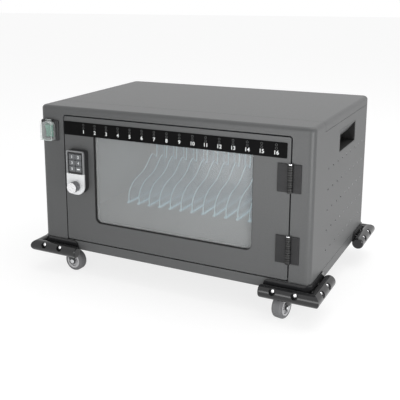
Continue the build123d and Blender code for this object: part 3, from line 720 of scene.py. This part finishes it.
class CART_OT_strip(bpy.types.Operator):
    """Prints the numbers and sets the lamps on the label strip"""
    bl_idname = "cart.strip"
    bl_label = "Label strip"

    def execute(self, context):
        settings = settings_of(context, "cart_strip")
        dress(strip_film(), "label_strip")
        low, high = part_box("label_strip")
        dividers_low, dividers_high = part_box("dividers")
        middle_x = (dividers_low.x + dividers_high.x) / 2
        width = (settings.slots - 1) * settings.pitch
        numbers = bmesh.new()
        for count in range(settings.slots):
            x = middle_x + (count - (settings.slots - 1) / 2) * settings.pitch
            place = (x, low.y, low.z + NUMBER_RISE)
            text_mesh(str(count + 1), settings.number_height, place, numbers)
        made = piece_from_bmesh("slot_numbers", numbers, ink("number_ink", settings.ink))
        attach(made, DOOR)
        made = repeated("status_lamps", grid_tree("lamp_rings", ring_shape), {
            "Columns": settings.slots,
            "Rows": LAMP_ROWS,
            "Width": width,
            "Height": LAMP_ROW_GAP,
            "Radius": LAMP_RADIUS,
            "Depth": LAMP_WIRE,
            "Place": (middle_x, low.y + LAMP_SINK, low.z + LAMP_RISE),
            "Finish": ink("lamp_ink", settings.lamp),
        })
        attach(made, DOOR)
        return {"FINISHED"}


class CART_OT_lock(bpy.types.Operator):
    """Finishes the keypad lock and marks its keys"""
    bl_idname = "cart.lock"
    bl_label = "Lock"

    def execute(self, context):
        keys_low, keys_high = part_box(f"lock_key_{KEY_COUNT}")
        dress(lock_silver(keys_low.z - KEYPAD_MARGIN), "lock_face")
        dress(black_plastic(), "lock_body")
        dress(knob_metal(), "lock_knob")
        dress(brushed_metal("zinc", (0.62, 0.63, 0.64), 0.35), "lock_nut", "lock_cam")
        keys = key_grey()
        mark = ink("key_ink", (0.75, 0.77, 0.78))
        for number in range(1, KEY_COUNT + 1):
            name = f"lock_key_{number}"
            dress(keys, name)
            low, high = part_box(name)
            middle = (low + high) / 2
            build = bmesh.new()
            if number < KEY_COUNT:
                place = (middle.x, low.y, middle.z)
                text_mesh(str(number), KEY_NUMBER_HEIGHT, place, build)
            else:
                half = Vector((KEY_BAR_HALF_WIDTH, 0, KEY_BAR_HALF_HEIGHT))
                front = Vector((middle.x, low.y - PRINT_PROUD, middle.z)) - half
                back = Vector((middle.x, low.y + KEY_BAR_SINK, middle.z)) + half
                bar(build, front, back)
            made = piece_from_bmesh(f"key_mark_{number}", build, mark)
            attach(made, f"key_{number}")
        return {"FINISHED"}


class CART_OT_switch(bpy.types.Operator):
    """Finishes the mains switch and its splash cover"""
    bl_idname = "cart.switch"
    bl_label = "Switch"

    def execute(self, context):
        dress(black_plastic(), "switch_housing")
        dress(switch_green(), "switch_rocker")
        dress(cover_clear(), "switch_cover")
        low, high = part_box("switch_cover")
        # Thin light strips along the cover's front edges, as painted highlights
        front, back = low.y + COVER_EDGE_INSET, low.y + COVER_EDGE
        top = high.z - COVER_CROWN
        build = bmesh.new()
        bar(build, (low.x, front, low.z), (low.x + COVER_EDGE, back, top))
        bar(build, (high.x - COVER_EDGE, front, low.z), (high.x, back, top))
        bar(build, (low.x, front, low.z), (high.x, back, low.z + COVER_EDGE))
        bmesh.ops.bevel(build, geom=build.edges[:], offset=COVER_EDGE_BEVEL, segments=2,
                        affect="EDGES")
        made = piece_from_bmesh("cover_highlight_strips", build, cover_rim())
        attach(made, "cover")
        return {"FINISHED"}


class CART_OT_hardware(bpy.types.Operator):
    """Finishes the hinges, bumpers and screws"""
    bl_idname = "cart.hardware"
    bl_label = "Hinges and bumpers"

    def execute(self, context):
        dress(hinge_coat(), "hinge_frame_leaves", "hinge_door_leaves")
        chrome = brushed_metal("bright_metal", (0.80, 0.80, 0.81), 0.15)
        dress(chrome, "hinge_pins", "bumper_screws")
        low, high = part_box("rear_panel")
        inlet_low, inlet_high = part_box("mains_inlet")
        lower_row = inlet_low.z - SCREW_INLET_GAP
        upper_row = high.z - SCREW_TOP_MARGIN
        made = repeated("rear_screws", grid_tree("screw_heads", dome_shape), {
            "Columns": SCREW_COLUMNS,
            "Rows": SCREW_ROWS,
            "Width": high.x - low.x - 2 * SCREW_SIDE_MARGIN,
            "Height": upper_row - lower_row,
            "Radius": SCREW_RADIUS,
            "Depth": SCREW_HEIGHT,
            "Place": ((low.x + high.x) / 2, high.y, (lower_row + upper_row) / 2),
            "Finish": brushed_metal("screw_steel", (0.45, 0.45, 0.46), 0.3),
        })
        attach(made, CABINET)
        gloss = bumper_gloss()
        for end in ("front", "rear"):
            for side in SIDES:
                dress(gloss, f"bumper_{end}_{side}")
        return {"FINISHED"}


class CART_OT_casters(bpy.types.Operator):
    """Finishes the casters"""
    bl_idname = "cart.casters"
    bl_label = "Casters"

    def execute(self, context):
        zinc = brushed_metal("caster_zinc", (0.62, 0.63, 0.64), 0.32)
        dress(zinc, "caster_plates", "caster_bolts")
        fork, tyre, hub = fork_coat(), tyre_rubber(), hub_plastic()
        for corner in CORNERS:
            dress(fork, f"caster_fork_{corner}")
            dress(zinc, f"caster_axle_{corner}")
            dress(tyre, f"caster_tyre_{corner}")
            dress(hub, f"caster_hub_{corner}")
        return {"FINISHED"}


# Stage

CAMERA_PLACE = Vector((0.731, -1.608, 0.712))
CAMERA_YAW = radians(29.87)
CAMERA_PITCH = radians(12.70)
CAMERA_ROLL = radians(-0.87)
CAMERA_SHIFT = (0.151, -0.1435)
SENSOR_WIDTH = 36
FLOOR_REACH = 12.0

# Share of plain white that shows in the floor, and the strength of that white
FLOOR_GLOW = 0.7
FLOOR_WHITE = 1.12

# Name, place, target, size and power of each lamp
LAMPS = (
    ("top_lamp", (0.6, 0.4, 2.6), (0, 0, 0.2), 2.2, 34),
    ("side_low_lamp", (1.15, -0.75, 0.08), (0.34, -0.1, 0.12), 0.5, 7.5),
    ("front_low_lamp", (0.0, -1.15, 0.06), (0.0, -0.23, 0.10), 0.7, 5),
)


def camera_frame():
    """The camera's axes and place as a matrix: right, up and back."""
    level_reach, drop = cos(CAMERA_PITCH), sin(CAMERA_PITCH)
    ahead = Vector((-sin(CAMERA_YAW) * level_reach, cos(CAMERA_YAW) * level_reach, -drop))
    level = ahead.cross(Vector((0, 0, 1))).normalized()
    upright = level.cross(ahead)
    right = level * cos(CAMERA_ROLL) + upright * sin(CAMERA_ROLL)
    up = upright * cos(CAMERA_ROLL) - level * sin(CAMERA_ROLL)
    turn = Matrix((right, up, -ahead)).transposed().to_4x4()
    return Matrix.Translation(CAMERA_PLACE) @ turn


def soft_lamp(name, place, target, size, power):
    """A square soft lamp that faces a target."""
    light = bpy.data.lights.new(name, "AREA")
    light.shape = "SQUARE"
    light.size = size
    light.energy = power
    holder = new_piece(name, light)
    holder.location = place
    direction = Vector(target) - Vector(place)
    holder.rotation_euler = direction.to_track_quat("-Z", "Y").to_euler()
    holder.visible_camera = False


def seen_rays(made):
    """1 for rays that show a background: from the camera, in gloss and through glass."""
    rays = node(made, "ShaderNodeLightPath").outputs
    gloss = maths(made, "MAXIMUM", rays["Is Camera Ray"], rays["Is Glossy Ray"])
    return maths(made, "MAXIMUM", gloss, rays["Is Transmission Ray"])


def set_world(strength):
    """Even light, and plain white where a ray shows the background."""
    world = bpy.data.worlds.new("studio")
    world.use_nodes = True
    background = world.node_tree.nodes["Background"]
    background.inputs["Color"].default_value = (1, 1, 1, 1)
    level = between(world, seen_rays(world), 0.0, 1.0, strength, 1.0)
    wire(world, level, background.inputs["Strength"])
    bpy.context.scene.world = world


def white_floor(colour):
    """A pale floor that shows nearly white and keeps a soft shadow."""
    made = new_material("floor_paint")
    set_shader(made, Base_Color=(*colour, 1), Roughness=0.9)
    white = node(made, "ShaderNodeEmission", {"Color": (1, 1, 1, 1), "Strength": FLOOR_WHITE})
    mix = node(made, "ShaderNodeMixShader")
    wire(made, maths(made, "MULTIPLY", seen_rays(made), FLOOR_GLOW), mix.inputs[0])
    wire(made, shader_of(made).outputs["BSDF"], mix.inputs[1])
    wire(made, white.outputs["Emission"], mix.inputs[2])
    output = made.node_tree.nodes["Material Output"]
    wire(made, mix.outputs["Shader"], output.inputs["Surface"])
    return made


class CART_OT_stage(bpy.types.Operator):
    """Sets the floor, the lamps and the camera"""
    bl_idname = "cart.stage"
    bl_label = "Stage"

    def execute(self, context):
        settings = settings_of(context, "cart_stage")
        scene = context.scene
        scene.view_settings.view_transform = "Standard"
        set_world(settings.world_strength)
        build = bmesh.new()
        bmesh.ops.create_grid(build, x_segments=1, y_segments=1, size=FLOOR_REACH)
        floor = piece_from_bmesh("floor", build, white_floor(tuple(settings.floor)))
        for lamp in LAMPS:
            soft_lamp(*lamp)
        camera_data = bpy.data.cameras.new("camera")
        camera_data.sensor_width = SENSOR_WIDTH
        camera_data.lens = settings.lens
        camera_data.shift_x, camera_data.shift_y = CAMERA_SHIFT
        camera = new_piece("camera", camera_data)
        camera.matrix_world = camera_frame()
        scene.camera = camera
        return {"FINISHED"}


class CART_PT_panel(bpy.types.Panel):
    """Lists the cart's pieces and settings"""
    bl_idname = "CART_PT_panel"
    bl_label = "Charging cart"
    bl_space_type = "VIEW_3D"
    bl_region_type = "UI"
    bl_category = "Cart"

    def draw(self, context):
        for operator in OPERATORS:
            self.layout.operator(operator.bl_idname)
        for name, group in GROUPS.items():
            column = self.layout.column(align=True)
            column.label(text=group.__doc__)
            settings = settings_of(context, name)
            for setting in group.__annotations__:
                column.prop(settings, setting)


OPERATORS = (
    CART_OT_stage,
    CART_OT_cabinet,
    CART_OT_glazing,
    CART_OT_strip,
    CART_OT_lock,
    CART_OT_switch,
    CART_OT_hardware,
    CART_OT_casters,
)


def register():
    for group in GROUPS.values():
        bpy.utils.register_class(group)
    for name, group in GROUPS.items():
        setattr(bpy.types.Scene, name, PointerProperty(type=group))
    for operator in OPERATORS:
        bpy.utils.register_class(operator)
    bpy.utils.register_class(CART_PT_panel)


def unregister():
    bpy.utils.unregister_class(CART_PT_panel)
    for operator in reversed(OPERATORS):
        bpy.utils.unregister_class(operator)
    for name in GROUPS:
        delattr(bpy.types.Scene, name)
    for group in reversed(list(GROUPS.values())):
        bpy.utils.unregister_class(group)


def main():
    register()
    for operator in OPERATORS:
        family, action = operator.bl_idname.split(".")
        getattr(getattr(bpy.ops, family), action)()


if __name__ == "__main__":
    main()
